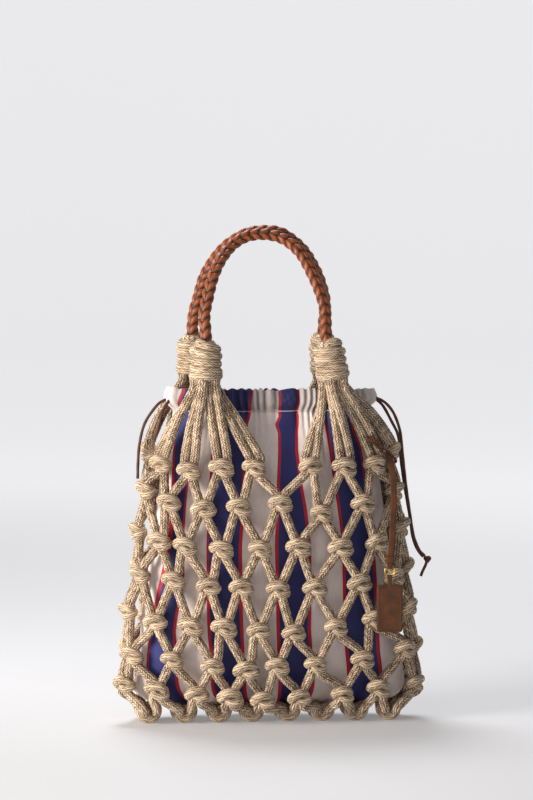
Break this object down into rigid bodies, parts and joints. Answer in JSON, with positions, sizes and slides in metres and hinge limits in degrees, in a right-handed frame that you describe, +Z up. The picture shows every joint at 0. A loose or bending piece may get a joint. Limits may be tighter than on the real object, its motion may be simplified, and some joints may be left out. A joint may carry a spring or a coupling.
{
  "type": "macrame bag",
  "caption": "Knotted cotton rope net bag with a striped drawstring pouch inside, braided leather handles and a blank hang tag.",
  "frame": {"origin": "on the floor, under the middle of the bag", "axes": "+Z up from the floor to the handles, -Y towards the front with the hang tag, +X to the right seen from the front"},
  "size_m": [0.3203, 0.1291, 0.502],
  "materials": {
    "rope": "matt braided cotton cord, natural with dark flecks",
    "handle_leather": "round braided cognac leather, satin",
    "striped_cotton": "plain weave cotton with blue stripes edged in red",
    "brown_leather": "brown leather, satin",
    "brass": "polished"
  },
  "bodies": {
    "root": {"net": "rope", "whipping_front_left": "rope", "whipping_front_right": "rope", "whipping_back_left": "rope", "whipping_back_right": "rope", "handle_front": "handle_leather", "handle_back": "handle_leather", "pouch": "striped_cotton", "lace_right_outer": "brown_leather", "lace_right_inner": "brown_leather", "lace_left_outer": "brown_leather", "lace_left_inner": "brown_leather", "lace_knot": "brown_leather", "tag_strap": "brown_leather", "tag_ring": "brass", "tag_plate": "brown_leather"}
  },
  "joints": []
}
